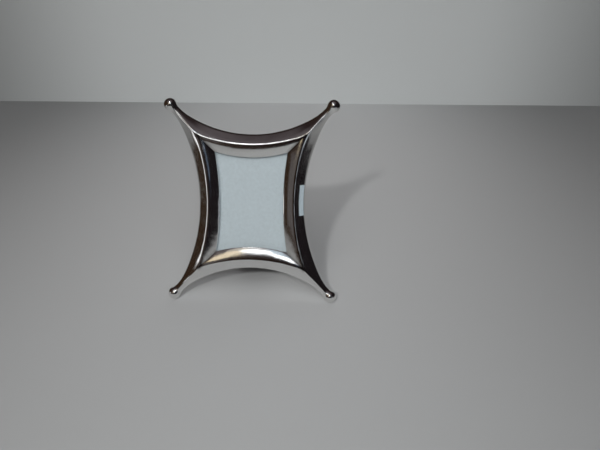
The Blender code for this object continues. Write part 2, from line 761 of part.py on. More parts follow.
def frame_origin_height():
    """Height of the drawing's origin, with the lower balls on the ground."""
    return BALL_RADIUS + BALL_CENTRE.y * math.cos(LEAN) + HORN_DEPTH * math.sin(LEAN)


def pin_height():
    return frame_origin_height() + PIN_HEIGHT * math.cos(LEAN) - PIN_DEPTH * math.sin(LEAN)


def pose_middle():
    """Y of the middle of the posed object, from the front of the lower balls to the back of the foot."""
    front = -BALL_CENTRE.y * math.sin(LEAN) + HORN_DEPTH * math.cos(LEAN) - BALL_RADIUS
    swing = LEG_OPENING - LEAN
    pin = PIN_HEIGHT * math.sin(LEAN) + PIN_DEPTH * math.cos(LEAN)
    back = pin + pin_height() * math.tan(swing) + LEG_BACK / math.cos(swing)
    return (front + back) / 2


def add_empty(name, parent=None):
    empty = bpy.data.objects.new(name, None)
    bpy.context.scene.collection.objects.link(empty)
    empty.parent = parent
    return empty


def make_holder():
    polished = material("polished_casting", (0.86, 0.86, 0.85), 0.06, 1)
    steel = material("nickel_steel", (0.62, 0.61, 0.58), 0.28, 1)
    glass = material("clear_glass", (0.95, 0.98, 0.97), 0.02, 0, 1)
    card = material("white_card", (0.8, 0.83, 0.85), 0.8)
    filler = material("grey_board", (0.42, 0.4, 0.37), 0.9)
    velvet = material("black_velvet", (0.02, 0.02, 0.022), 0.95)
    paper = material("label_paper", (0.75, 0.78, 0.8), 0.7)

    pose = add_empty("holder_pose")
    pose.location = (0, -pose_middle(), frame_origin_height())
    pose.rotation_euler = (-LEAN, 0, 0)
    make_frame(pose, polished)
    make_stack(pose, glass, card, filler, velvet)
    make_buttons(pose, steel)
    make_label(pose, paper)

    hinge = add_empty("hinge_place", pose)
    hinge.location = (0, PIN_DEPTH, PIN_HEIGHT)
    make_upper_leaf(hinge, steel)
    make_pin(hinge, steel)
    make_rivets(hinge, steel, "board_rivet", BOARD_RIVET_PLACE, UPPER_LEAF_BACK + GAP)

    swing = add_empty("leg_swing", hinge)
    swing.rotation_euler = (LEG_OPENING, 0, 0)
    make_leg(swing, velvet)
    make_lower_leaf(swing, steel)
    make_rivets(swing, steel, "leg_rivet", LEG_RIVET_PLACE, KNUCKLE_RADIUS + GAP)


clear_scene()
make_holder()
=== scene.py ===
"""Looks of the table number holder: a polished cast frame with ball tips, on a velvet-covered easel leg."""

import math

import bmesh
import bpy
from mathutils import Matrix, Vector, noise


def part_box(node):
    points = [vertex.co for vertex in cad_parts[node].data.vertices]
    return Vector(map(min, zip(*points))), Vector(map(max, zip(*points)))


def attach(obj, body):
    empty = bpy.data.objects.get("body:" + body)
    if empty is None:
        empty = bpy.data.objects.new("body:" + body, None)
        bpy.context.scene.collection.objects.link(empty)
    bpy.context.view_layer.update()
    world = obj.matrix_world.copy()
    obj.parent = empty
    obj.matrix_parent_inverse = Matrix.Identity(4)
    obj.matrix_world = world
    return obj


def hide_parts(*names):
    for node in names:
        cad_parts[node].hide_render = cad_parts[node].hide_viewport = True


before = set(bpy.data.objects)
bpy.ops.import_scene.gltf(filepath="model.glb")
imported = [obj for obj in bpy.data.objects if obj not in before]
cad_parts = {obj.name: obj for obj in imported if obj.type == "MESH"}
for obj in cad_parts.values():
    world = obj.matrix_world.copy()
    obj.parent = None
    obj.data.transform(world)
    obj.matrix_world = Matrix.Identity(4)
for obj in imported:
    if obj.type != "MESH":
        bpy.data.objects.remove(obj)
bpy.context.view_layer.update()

MM = 0.001
GAP = 0.3 * MM  # between pieces that touch
CUT_PAST = 1 * MM  # how far a cutter runs past the surface it cuts
MERGE = 0.0005 * MM  # points closer than this are one point

# The holder's own axes: X across, Z up the frame, -Y out of its front, and the ridge in the plane Y = 0
LEAN = math.radians(15)
BALL_CENTRE = Vector((62.5 * MM, 74.5 * MM))
BALL_RADIUS = 5 * MM
HORN_DEPTH = 6 * MM

# Frame casting
NECK_RADIUS = 3.4 * MM
NECK_FILLET = 9 * MM  # the hollow between the neck and the ball
RIDGE_CORNER = Vector((41.5 * MM, 52 * MM))
RIDGE_MIDDLE = Vector((33 * MM, 44.6 * MM))
WINDOW_CORNER = Vector((28 * MM, 39 * MM))
WINDOW_MIDDLE = Vector((24.7 * MM, 35 * MM))
OUTER_MIDDLE = Vector((41.2 * MM, 52.7 * MM))
OUTER_VIRTUAL_NECK = 2.1 * MM  # the arcs of the outside aim at this half width, then ease out to the neck
EDGE_DEPTH = 6.2 * MM
BACK_DEPTH = 11 * MM
LIP_DEPTH = 2.8 * MM
REBATE_DEPTH = 4.3 * MM
REBATE_HALF = Vector((32.3 * MM, 45.1 * MM))
REBATE_CORNER = 1.5 * MM
SCREW_PLACE = Vector((37.2 * MM, 22 * MM))
SCREW_HOLE_RADIUS = 1.3 * MM
SCREW_HOLE_DEPTH = 4.2 * MM
CREST_SHARE = 0.115  # how round the ridge is, as a share of the slope's width
INNER_START = 0.3  # share of the inner slope's fall that is straight, and the rest steepens towards the lip
FLANK_ROUND = 0.16  # share of the flank's width where its outer edge starts to round over
WALL_ROUND = 0.25  # share of the wall's height that the rounding takes
WALL_MIDDLE = 0.6  # share of the wall's height with a row of points, and of the back's width with another
BACK_ROUND = 0.05
BACK_INNER = 0.3  # share of the back's width with one more row
LIP_ROUND = 0.05
LIP_WALL = 0.4 * MM
NECK_ROUNDNESS = 0.45  # how far the section has turned from roof to ring at the neck
SOFT_FROM_SHARE = 0.35  # the corner of the flank is softened in full from this share of its width outwards
SOFT_STATIONS = 14
SOFT_ROUNDS = 90
SOFT_PULL = 0.5
# Painted shade: a near-black tone laid along the mitred corners of the inner slopes
PAINTED_SHADE_WIDTH = 1.3 * MM
PAINTED_SHADE_AT_WINDOW = 0.3  # share of the painted shade at the ridge
PAINTED_SHADE_PAST_LIP = 1 * MM
BACK_BLEND = 0.5 * MM  # depth over which the polish ends at the back
WAVE_LENGTH = 9 * MM
WAVE_HEIGHT = 0.05 * MM
RIPPLE_SCALE = 2.3  # how much finer a second, lower wave is
RIPPLE_SHARE = 0.4
RIPPLE_SHIFT = Vector((5, 1, 3))
SHARP_ANGLE = 14  # degrees between faces, above which their edge is sharp

# Stack behind the window
PANE_HALF = Vector((31.9 * MM, 44.7 * MM))
BOARD_FRONT = 8.5 * MM
BOARD_ROUND = 0.45 * MM

# Turn buttons and their screws
BUTTON_REACH = 9 * MM
BUTTON_END_RADIUS = 3.2 * MM
BUTTON_TIP_RADIUS = 2.1 * MM
BUTTON_THICKNESS = 0.8 * MM
BUTTON_ROUND = 0.22 * MM
SCREW_RADIUS = 1 * MM
SCREW_HEAD_RADIUS = 2.1 * MM
SCREW_HEAD_HEIGHT = 1.3 * MM
SCREW_LENGTH = 4.8 * MM
SLOT_WIDTH = 0.5 * MM
SLOT_DEPTH = 0.6 * MM
SLOT_TURN = math.radians(35)
SCREW_ROUND = 0.05 * MM
DOME_EDGE = 0.12  # upright share of a rivet head's height
PAN_EDGE = 0.3  # and of a screw head's

# Leg hinge
LEG_OPENING = math.radians(30)
PIN_HEIGHT = 20 * MM
KNUCKLE_RADIUS = 1.7 * MM
KNUCKLE_BORE = 1.05 * MM
PIN_RADIUS = 0.85 * MM
PIN_OVERHANG = 0.3 * MM
LEAF_THICKNESS = KNUCKLE_RADIUS - KNUCKLE_BORE
LEAF_ROUND = 0.12 * MM
ROLL_SWEEP = 250  # how far each leaf is rolled round the pin, in degrees
UPPER_LEAF_WIDTH = 22 * MM
UPPER_LEAF_HEIGHT = 12 * MM
LOWER_KNUCKLE_WIDTH = 7.4 * MM
LOWER_LEAF_WIDTH = 16 * MM
LOWER_LEAF_HEIGHT = 13 * MM
STOP_HEIGHT = 5.5 * MM
RIVET_RADIUS = 0.9 * MM
RIVET_HEAD_RADIUS = 1.7 * MM
RIVET_HEAD_HEIGHT = 0.7 * MM
RIVET_LENGTH = 2.3 * MM
BOARD_RIVET_PLACE = Vector((7.5 * MM, 8 * MM))
LEG_RIVET_PLACE = Vector((5 * MM, -8.5 * MM))
PIN_DEPTH = BACK_DEPTH + GAP + KNUCKLE_RADIUS
UPPER_LEAF_BACK = LEAF_THICKNESS - KNUCKLE_RADIUS

# Leg
LEG_THICKNESS = 2.3 * MM
LEG_TOP_HALF = 11 * MM
LEG_FOOT_HALF = 17 * MM
LEG_TOP = -2.4 * MM
LEG_CORNER = 2 * MM
LEG_BACK = KNUCKLE_BORE - GAP  # from the pin, with the leg folded
LEG_ROUND = 0.5 * MM

# Label on the right flank
LABEL_MIDDLE = 2.5 * MM  # above the middle of the frame
LABEL_HALF_LENGTH = 11.9 * MM
LABEL_FROM = 0.5  # shares of the flank's width
LABEL_TO = 0.89
LABEL_THICKNESS = 0.15 * MM

# Mesh fineness
RIDGE_STEPS = 48
HORN_STEPS = 24
NECK_STEPS = 12
BALL_STEPS = 24
SLOPE_STEPS = 22
ROUND_STEPS = 7
ROLL_STEPS = 40
TURN_STEPS = 48
DOME_STEPS = 10
PEAR_STEPS = 28
LABEL_STEPS = 24
LABEL_COLUMNS = 8
CORNER_STEPS = 8
LIP_STEPS = 4
SLOPE_CROWDING = 1.6  # how much closer together the rows are at the crest


# ---------------------------------------------------------------- mesh helpers


def mesh_from_bmesh(name, made):
    bmesh.ops.recalc_face_normals(made, faces=made.faces)
    mesh = bpy.data.meshes.new(name)
    made.to_mesh(mesh)
    made.free()
    return mesh


def add_object(name, mesh, look, smooth_below=30):
    """Adds a mesh with its look. Edges are sharp above an angle in degrees."""
    obj = bpy.data.objects.new(name, mesh)
    bpy.context.scene.collection.objects.link(obj)
    mesh.materials.clear()
    mesh.materials.append(look)
    mesh.shade_smooth()
    mesh.set_sharp_from_angle(angle=math.radians(smooth_below))
    return obj


def hinge_matrix():
    """From the pin's own axes to the world, for the pieces that stay with the frame."""
    return pose_matrix() @ Matrix.Translation((0, PIN_DEPTH, PIN_HEIGHT))


def leg_matrix():
    """The same for the pieces that swing with the leg."""
    return hinge_matrix() @ Matrix.Rotation(LEG_OPENING, 4, "X")


def pose_matrix():
    """From the holder's own axes to the world: leaned back, with its lower balls on the table."""
    height = BALL_RADIUS + BALL_CENTRE.y * math.cos(LEAN) + HORN_DEPTH * math.sin(LEAN)
    low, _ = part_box("frame_casting")
    front = -BALL_CENTRE.y * math.sin(LEAN) + HORN_DEPTH * math.cos(LEAN) - BALL_RADIUS
    return Matrix.Translation((0, low.y - front, height)) @ Matrix.Rotation(-LEAN, 4, "X")


def cut(obj, cutter_mesh, matrix):
    """Cuts the mesh for good, with an exact Boolean."""
    cutter = bpy.data.objects.new("cutter", cutter_mesh)
    bpy.context.scene.collection.objects.link(cutter)
    cutter.matrix_world = matrix
    made = obj.modifiers.new("cut", "BOOLEAN")
    made.operation = "DIFFERENCE"
    made.solver = "EXACT"
    made.object = cutter
    apply_modifiers(obj)
    bpy.data.objects.remove(cutter)


def apply_modifiers(obj):
    graph = bpy.context.evaluated_depsgraph_get()
    mesh = bpy.data.meshes.new_from_object(obj.evaluated_get(graph))
    obj.modifiers.clear()
    obj.data = mesh


def round_edges(obj, width, steps=3, above=35):
    """Rounds the edges sharper than an angle, and keeps the flats flat in the shading."""
    made = obj.modifiers.new("round", "BEVEL")
    made.width = width
    made.segments = steps
    made.limit_method = "ANGLE"
    made.angle_limit = math.radians(above)
    made.harden_normals = True
    made.use_clamp_overlap = True
    apply_modifiers(obj)


def settle(obj, place, body, replaced):
    """Puts a piece drawn about its own origin in its place, and on its body."""
    obj.data.transform(place)
    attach(obj, body)
    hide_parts(replaced)


# ---------------------------------------------------------------- frame casting


def blend(a, b, share):
    return a + (b - a) * share


def ease(share):
    return share * share * (3 - 2 * share)


NECK_TO_BALL = math.sqrt((BALL_RADIUS + NECK_FILLET) ** 2 - (NECK_RADIUS + NECK_FILLET) ** 2)
HORN_AXIS = (BALL_CENTRE - RIDGE_CORNER).normalized()
NECK_CENTRE = BALL_CENTRE - NECK_TO_BALL * HORN_AXIS


def swap(point):
    return Vector((point.y, point.x))


class Side:
    """Half of one side of the frame, from its middle to the horn.

    It is written for the top side, whose curves run along x at a height y. The right side is the same with
    x and y exchanged, so its half sizes are given to it exchanged.
    """

    def __init__(self, exchanged):
        order = swap if exchanged else Vector
        self.exchanged = exchanged
        self.ridge_corner = order(RIDGE_CORNER)
        self.window_corner = order(WINDOW_CORNER)
        self.ridge_height = order(RIDGE_MIDDLE).y
        self.window_height = order(WINDOW_MIDDLE).y
        self.outer_height = order(OUTER_MIDDLE).y
        self.neck_centre = order(NECK_CENTRE)
        self.horn_axis = order(HORN_AXIS)
        self.outwards = Vector((-self.horn_axis.y, self.horn_axis.x))
        self.set_outer_arc()

    def set_outer_arc(self):
        """The arc of the outside passes through the middle and just inside the neck's edge."""
        end = self.neck_centre + OUTER_VIRTUAL_NECK * self.outwards
        sagitta = end.y - self.outer_height
        self.outer_radius = (end.x**2 + sagitta**2) / (2 * sagitta)
        self.outer_centre = Vector((0, self.outer_height + self.outer_radius))
        to_corner = self.ridge_corner - self.outer_centre
        self.corner_angle = math.atan2(to_corner.x, -to_corner.y)

    def arc_point(self, angle):
        return self.outer_centre + self.outer_radius * Vector((math.sin(angle), -math.cos(angle)))

    def sagged(self, corner, middle_height, share):
        """A point of the arc through the middle height and the corner, this share of the way along."""
        sagitta = corner.y - middle_height
        radius = (corner.x**2 + sagitta**2) / (2 * sagitta)
        angle = share * math.asin(corner.x / radius)
        return Vector((radius * math.sin(angle), middle_height + radius * (1 - math.cos(angle))))

    def ridge(self, share):
        return self.sagged(self.ridge_corner, self.ridge_height, share)

    def window(self, share):
        return self.sagged(self.window_corner, self.window_height, share)

    def outer(self, share):
        return self.arc_point(share * self.corner_angle)

    def horn_edge(self, share):
        """The outside along the horn, from the arc at the ridge's corner to parallel sides at the neck."""
        start = self.arc_point(self.corner_angle)
        direction = Vector((math.cos(self.corner_angle), math.sin(self.corner_angle)))
        from_neck = start - self.neck_centre
        run = -from_neck.dot(self.horn_axis)
        half_width = from_neck.dot(self.outwards)
        slope = direction.dot(self.outwards) / direction.dot(self.horn_axis) * run
        rest = 1 - share
        width = (
            half_width * (1 + 2 * share) * rest**2
            + slope * share * rest**2
            + NECK_RADIUS * share**2 * (3 - 2 * share)
        )
        return self.neck_centre - rest * run * self.horn_axis + width * self.outwards

    def place(self, point, depth):
        """The 3-D point, in the quarter with x and z positive."""
        x, z = (point.y, point.x) if self.exchanged else (point.x, point.y)
        return Vector((x, depth, z))


TOP_SIDE = Side(False)
RIGHT_SIDE = Side(True)


def crest(share):
    """The fall from a rounded crest, from 0 at the crest to 1 at share 1, with a level start."""
    return (math.hypot(share, CREST_SHARE) - CREST_SHARE) / (math.hypot(1, CREST_SHARE) - CREST_SHARE)


def crest_slope(share):
    return share / math.hypot(share, CREST_SHARE) / (math.hypot(1, CREST_SHARE) - CREST_SHARE)


def slope_shares(end):
    """Shares of a slope's width, closer together at the crest."""
    return [end * (step / SLOPE_STEPS) ** SLOPE_CROWDING for step in range(SLOPE_STEPS + 1)]


def curve_through(start, control, end, steps):
    """Points of a quadratic Bezier after its start."""
    points = []
    for step in range(1, steps + 1):
        t = step / steps
        points.append(start * (1 - t) ** 2 + control * 2 * t * (1 - t) + end * t * t)
    return points


def outer_half_section():
    """Half a section as (share across, height), from the crest (0, 1) to the middle of the back (0, -1)."""
    points = [Vector((share, 1 - crest(share))) for share in slope_shares(1 - FLANK_ROUND)]
    start = points[-1]
    control = Vector((1, start.y - FLANK_ROUND * crest_slope(start.x)))
    points += curve_through(start, control, Vector((1, -WALL_ROUND)), ROUND_STEPS)
    points += [Vector((1, -WALL_MIDDLE)), Vector((1, -1 + BACK_ROUND)), Vector((1 - BACK_ROUND, -1))]
    points += [Vector((WALL_MIDDLE, -1)), Vector((BACK_INNER, -1)), Vector((0, -1))]
    return points


OUTER_SECTION = outer_half_section()
ROUND_SECTION = [point.normalized() for point in OUTER_SECTION]


def inner_half_section():
    """The inner slope, the window's wall and the back, as (share across, depth)."""

    def fall(share):
        return LIP_DEPTH * (INNER_START * crest(share) + (1 - INNER_START) * share**2)

    points = [Vector((share, fall(share))) for share in slope_shares(1 - LIP_ROUND)]
    control = Vector((1, fall(1)))
    points += curve_through(points[-1], control, Vector((1, LIP_DEPTH + LIP_WALL)), LIP_STEPS)
    points += [Vector((1, BACK_DEPTH)), Vector((0.5, BACK_DEPTH)), Vector((0, BACK_DEPTH))]
    return points


INNER_SECTION = inner_half_section()


def outer_station(side, station):
    """The outer half section at a station: 0 is the side's middle, 1 the ridge's corner, 2 the neck."""
    along = max(0, station - 1)
    eased = ease(along)
    if station <= 1:
        crest_at, edge_at = side.ridge(station), side.outer(station)
    else:
        crest_at, edge_at = blend(side.ridge_corner, side.neck_centre, along), side.horn_edge(along)
    depth = blend(EDGE_DEPTH, HORN_DEPTH, eased)
    front = blend(EDGE_DEPTH, NECK_RADIUS, eased)
    back = blend(BACK_DEPTH - EDGE_DEPTH, NECK_RADIUS, eased)
    points = []
    for roof, ring in zip(OUTER_SECTION, ROUND_SECTION):
        shape = roof.lerp(ring, NECK_ROUNDNESS * eased)
        height = shape.y * (front if shape.y > 0 else back)
        points.append(side.place(blend(crest_at, edge_at, shape.x), depth - height))
    return points


def soften_corner(stations):
    """Rounds the flank off where the crest turns a corner, less and less towards the crest itself."""
    pulls = [min(1, shape.x / SOFT_FROM_SHARE) for shape in OUTER_SECTION]
    for _ in range(SOFT_ROUNDS):
        before = [list(points) for points in stations]
        for i in range(1, len(stations) - 1):
            near = math.exp(-(((i - RIDGE_STEPS) / SOFT_STATIONS) ** 2))
            for j, pull in enumerate(pulls):
                middle = (before[i - 1][j] + before[i + 1][j]) / 2
                stations[i][j] = before[i][j].lerp(middle, SOFT_PULL * near * pull)
    return stations


def tip_station(side, centre, radius, roundness):
    """A half section of the neck or the ball."""
    edge = centre + radius * side.outwards
    points = []
    for roof, ring in zip(OUTER_SECTION, ROUND_SECTION):
        shape = roof.lerp(ring, roundness)
        points.append(side.place(blend(centre, edge, shape.x), HORN_DEPTH - radius * shape.y))
    return points


def side_stations(side):
    """Outer half sections from the middle of the side to the neck."""
    on_ridge = [step / RIDGE_STEPS for step in range(RIDGE_STEPS + 1)]
    on_horn = [1 + step / HORN_STEPS for step in range(1, HORN_STEPS + 1)]
    return soften_corner([outer_station(side, station) for station in on_ridge + on_horn])


def inner_stations(side):
    stations = []
    for step in range(RIDGE_STEPS + 1):
        share = step / RIDGE_STEPS
        ridge, window = side.ridge(share), side.window(share)
        stations.append([side.place(blend(ridge, window, p.x), p.y) for p in INNER_SECTION])
    return stations


def tip_stations(side):
    """Outer half sections from the neck, through its hollow fillet and over the ball, and the ball's pole."""
    join = math.asin(NECK_TO_BALL / (BALL_RADIUS + NECK_FILLET))
    profile = []
    for step in range(NECK_STEPS + 1):
        share = step / NECK_STEPS
        angle = join * share
        radius = NECK_RADIUS + NECK_FILLET * (1 - math.cos(angle))
        profile.append((NECK_FILLET * math.sin(angle), radius, blend(NECK_ROUNDNESS, 1, ease(share))))
    for step in range(1, BALL_STEPS):
        angle = blend(math.pi / 2 - join, math.pi, step / BALL_STEPS)
        profile.append((NECK_TO_BALL - BALL_RADIUS * math.cos(angle), BALL_RADIUS * math.sin(angle), 1))
    stations = []
    for past_neck, radius, roundness in profile:
        centre = side.neck_centre + past_neck * side.horn_axis
        stations.append(tip_station(side, centre, radius, roundness))
    pole = side.place(side.neck_centre + (NECK_TO_BALL + BALL_RADIUS) * side.horn_axis, HORN_DEPTH)
    return stations, pole


def add_strip(made, stations, signs):
    """Quads between neighbouring stations, mirrored by the signs."""
    rows = [[made.verts.new((p.x * signs.x, p.y, p.z * signs.y)) for p in station] for station in stations]
    for first, second in zip(rows, rows[1:]):
        for i in range(len(first) - 1):
            made.faces.new((first[i], second[i], second[i + 1], first[i + 1]))
    return rows[-1]


def add_pole(made, ring, pole, signs):
    tip = made.verts.new((pole.x * signs.x, pole.y, pole.z * signs.y))
    for a, b in zip(ring, ring[1:]):
        made.faces.new((a, tip, b))


def frame_mesh():
    made = bmesh.new()
    for side in (TOP_SIDE, RIGHT_SIDE):
        outside, inside = side_stations(side), inner_stations(side)
        tip, pole = tip_stations(side)
        for signs in (Vector((1, 1)), Vector((-1, 1)), Vector((-1, -1)), Vector((1, -1))):
            add_strip(made, outside, signs)
            add_strip(made, inside, signs)
            add_pole(made, add_strip(made, tip, signs), pole, signs)
    bmesh.ops.remove_doubles(made, verts=made.verts, dist=MERGE)
    return mesh_from_bmesh("frame_polished", made)


def rounded_rectangle(half, corner, steps=6):
    """Outline points of a rectangle about the origin with arcs at its corners, counterclockwise."""
    points = []
    for quarter, (side_x, side_z) in enumerate(((1, 1), (-1, 1), (-1, -1), (1, -1))):
        centre = Vector((side_x * (half.x - corner), side_z * (half.y - corner)))
        for step in range(steps + 1):
            angle = math.pi / 2 * (quarter + step / steps)
            points.append(centre + corner * Vector((math.cos(angle), math.sin(angle))))
    return points


def slab_mesh(name, outline, depth, thickness):
    """A flat piece with its outline in X and Z, from depth to depth + thickness along Y."""
    made = bmesh.new()
    front = [made.verts.new((p.x, depth, p.y)) for p in outline]
    face = made.faces.new(front)
    grown = bmesh.ops.extrude_face_region(made, geom=[face])["geom"]
    moved = [item for item in grown if isinstance(item, bmesh.types.BMVert)]
    bmesh.ops.translate(made, verts=moved, vec=(0, thickness, 0))
    return mesh_from_bmesh(name, made)


def cylinder_mesh(name, radius, start, end, steps=32):
    """A cylinder along Y from start to end."""
    made = bmesh.new()
    bmesh.ops.create_cone(
        made, cap_ends=True, segments=steps, radius1=radius, radius2=radius, depth=end - start
    )
    bmesh.ops.transform(made, verts=made.verts, matrix=Matrix.Rotation(-math.pi / 2, 4, "X"))
    bmesh.ops.translate(made, verts=made.verts, vec=(0, (start + end) / 2, 0))
    return mesh_from_bmesh(name, made)


def segment_distance(point, start, end):
    """The distance to a segment, and the share of the way along it of the nearest point."""
    along = end - start
    share = max(0, min(1, (point - start).dot(along) / along.length_squared))
    return (point - start - share * along).length, share


def painted_shade_at(point):
    """Painted shade in the mitred corners of the inner slopes, most of it by the ridge."""
    if point.y > LIP_DEPTH + PAINTED_SHADE_PAST_LIP:
        return 0
    flat = Vector((abs(point.x), abs(point.z)))
    off_mitre, share = segment_distance(flat, RIDGE_CORNER, WINDOW_CORNER)
    return math.exp(-((off_mitre / PAINTED_SHADE_WIDTH) ** 2)) * blend(1, PAINTED_SHADE_AT_WINDOW, share)


def as_cast_at(point):
    """1 on the back, which was never polished, and 0 on the walls and the front."""
    return max(0, min(1, 1 - (BACK_DEPTH - point.y) / BACK_BLEND))


def add_amounts(mesh, name, amount_at):
    amounts = mesh.attributes.new(name, "FLOAT", "POINT")
    amounts.data.foreach_set("value", [amount_at(vertex.co) for vertex in mesh.vertices])


def add_hand_polish(mesh):
    """Makes the surface slightly wavy, as a casting is that was polished by hand."""
    moved = []
    for vertex in mesh.vertices:
        place = vertex.co / WAVE_LENGTH
        ripple = noise.noise(RIPPLE_SCALE * place + RIPPLE_SHIFT)
        lift = WAVE_HEIGHT * (noise.noise(place) + RIPPLE_SHARE * ripple)
        moved.append(vertex.co + lift * (1 - as_cast_at(vertex.co)) * vertex.normal)
    for vertex, place in zip(mesh.vertices, moved):
        vertex.co = place


def make_frame(look):
    mesh = frame_mesh()
    add_hand_polish(mesh)
    obj = add_object("frame_polished", mesh, look, SHARP_ANGLE)
    outline = rounded_rectangle(REBATE_HALF, REBATE_CORNER)
    depth = BACK_DEPTH - REBATE_DEPTH + 2 * CUT_PAST
    cut(obj, slab_mesh("rebate", outline, REBATE_DEPTH, depth), Matrix())
    for x in (-SCREW_PLACE.x, SCREW_PLACE.x):
        for z in (-SCREW_PLACE.y, SCREW_PLACE.y):
            start = BACK_DEPTH - SCREW_HOLE_DEPTH
            hole = cylinder_mesh("screw_hole", SCREW_HOLE_RADIUS, start, BACK_DEPTH + CUT_PAST)
            cut(obj, hole, Matrix.Translation((x, 0, z)))
    # Point amounts for the painted shade in the corners and for the unpolished back
    add_amounts(obj.data, "painted_shade", painted_shade_at)
    add_amounts(obj.data, "as_cast", as_cast_at)
    obj.data.shade_smooth()
    obj.data.set_sharp_from_angle(angle=math.radians(SHARP_ANGLE))
    settle(obj, pose_matrix(), "frame", "frame_casting")


# ---------------------------------------------------------------- board and leg


def drill(obj, radius, start, end, places):
    """Cuts holes along Y from start to end, at places in X and Z."""
    for x, z in places:
        cut(obj, cylinder_mesh("hole", radius, start, end), Matrix.Translation((x, 0, z)))


def both_sides(place):
    return [(-place.x, place.y), (place.x, place.y)]


def make_board(look):
    outline = rounded_rectangle(PANE_HALF, REBATE_CORNER)
    mesh = slab_mesh("board", outline, BOARD_FRONT, BACK_DEPTH - BOARD_FRONT)
    board = add_object("board_velvet", mesh, look)
    start = BACK_DEPTH - (RIVET_LENGTH - GAP - LEAF_THICKNESS)
    places = both_sides(BOARD_RIVET_PLACE + Vector((0, PIN_HEIGHT)))
    drill(board, RIVET_RADIUS + GAP, start, BACK_DEPTH + CUT_PAST, places)
    round_edges(board, BOARD_ROUND)
    settle(board, pose_matrix(), "frame", "back_board")


def pin_height():
    """Height of the pin above the ground."""
    return (pose_matrix() @ Vector((0, PIN_DEPTH, PIN_HEIGHT))).z


def leg_outline(foot):
    """A board that widens down to its foot, with round corners at its top."""
    points = [Vector((-LEG_FOOT_HALF, foot)), Vector((LEG_FOOT_HALF, foot))]
    for side, first in ((1, 0), (-1, math.pi / 2)):
        centre = Vector((side * (LEG_TOP_HALF - LEG_CORNER), LEG_TOP - LEG_CORNER))
        for step in range(CORNER_STEPS + 1):
            angle = first + math.pi / 2 * step / CORNER_STEPS
            points.append(centre + LEG_CORNER * Vector((math.cos(angle), math.sin(angle))))
    return points


def make_leg(look):
    """A tapered board, cut level with the ground at its foot."""
    foot = -pin_height() / math.cos(LEG_OPENING - LEAN) - LEG_THICKNESS
    mesh = slab_mesh("leg", leg_outline(foot), LEG_BACK - LEG_THICKNESS, LEG_THICKNESS)
    leg = add_object("leg_velvet", mesh, look)
    size = 2 * BALL_CENTRE.y
    ground = box_mesh("ground", (-size, -size, -size), (size, size, 0))
    level = Matrix.Rotation(LEAN - LEG_OPENING, 4, "X") @ Matrix.Translation((0, 0, -pin_height()))
    cut(leg, ground, level)
    start = LEG_BACK - (RIVET_LENGTH - GAP - LEAF_THICKNESS)
    drill(leg, RIVET_RADIUS + GAP, start, LEG_BACK + CUT_PAST, both_sides(LEG_RIVET_PLACE))
    round_edges(leg, LEG_ROUND)
    settle(leg, leg_matrix(), "leg", "easel_leg")


# ---------------------------------------------------------------- hinge


def arc(radius, start, end, steps):
    """Points about the pin, at angles in degrees that run from the back (0) over the top (90)."""
    angles = [math.radians(blend(start, end, step / steps)) for step in range(steps + 1)]
    return [radius * Vector((math.cos(angle), math.sin(angle))) for angle in angles]


def bar_mesh(name, outline, half):
    """A bar along X, from -half to half, whose section is the outline in Y and Z."""
    made = bmesh.new()
    face = made.faces.new([made.verts.new((-half, p.x, p.y)) for p in outline])
    grown = bmesh.ops.extrude_face_region(made, geom=[face])["geom"]
    moved = [item for item in grown if isinstance(item, bmesh.types.BMVert)]
    bmesh.ops.translate(made, verts=moved, vec=(2 * half, 0, 0))
    return mesh_from_bmesh(name, made)


def box_mesh(name, low, high):
    made = bmesh.new()
    bmesh.ops.create_cube(made, size=1)
    bmesh.ops.scale(made, verts=made.verts, vec=[b - a for a, b in zip(low, high)])
    bmesh.ops.translate(made, verts=made.verts, vec=[(a + b) / 2 for a, b in zip(low, high)])
    return mesh_from_bmesh(name, made)


def make_upper_leaf(look):
    """Rolled about the pin each side of the lower leaf's knuckle."""
    outline = [Vector((-KNUCKLE_RADIUS, UPPER_LEAF_HEIGHT))]
    outline += arc(KNUCKLE_RADIUS, 180, 180 + ROLL_SWEEP, ROLL_STEPS)
    outline += arc(KNUCKLE_BORE, 180 + ROLL_SWEEP, 180, ROLL_STEPS)
    outline += [Vector((-KNUCKLE_BORE, UPPER_LEAF_HEIGHT))]
    leaf = add_object("upper_leaf_steel", bar_mesh("upper_leaf", outline, UPPER_LEAF_WIDTH / 2), look)
    notch = LOWER_KNUCKLE_WIDTH / 2 + GAP
    clear = KNUCKLE_RADIUS + GAP
    cut(leaf, box_mesh("notch", (-notch, -2 * clear, -clear), (notch, 2 * clear, clear)), Matrix())
    drill(leaf, RIVET_RADIUS + GAP / 2, -2 * clear, 2 * clear, both_sides(BOARD_RIVET_PLACE))
    round_edges(leaf, LEAF_ROUND)
    settle(leaf, hinge_matrix(), "frame", "hinge_upper_leaf")


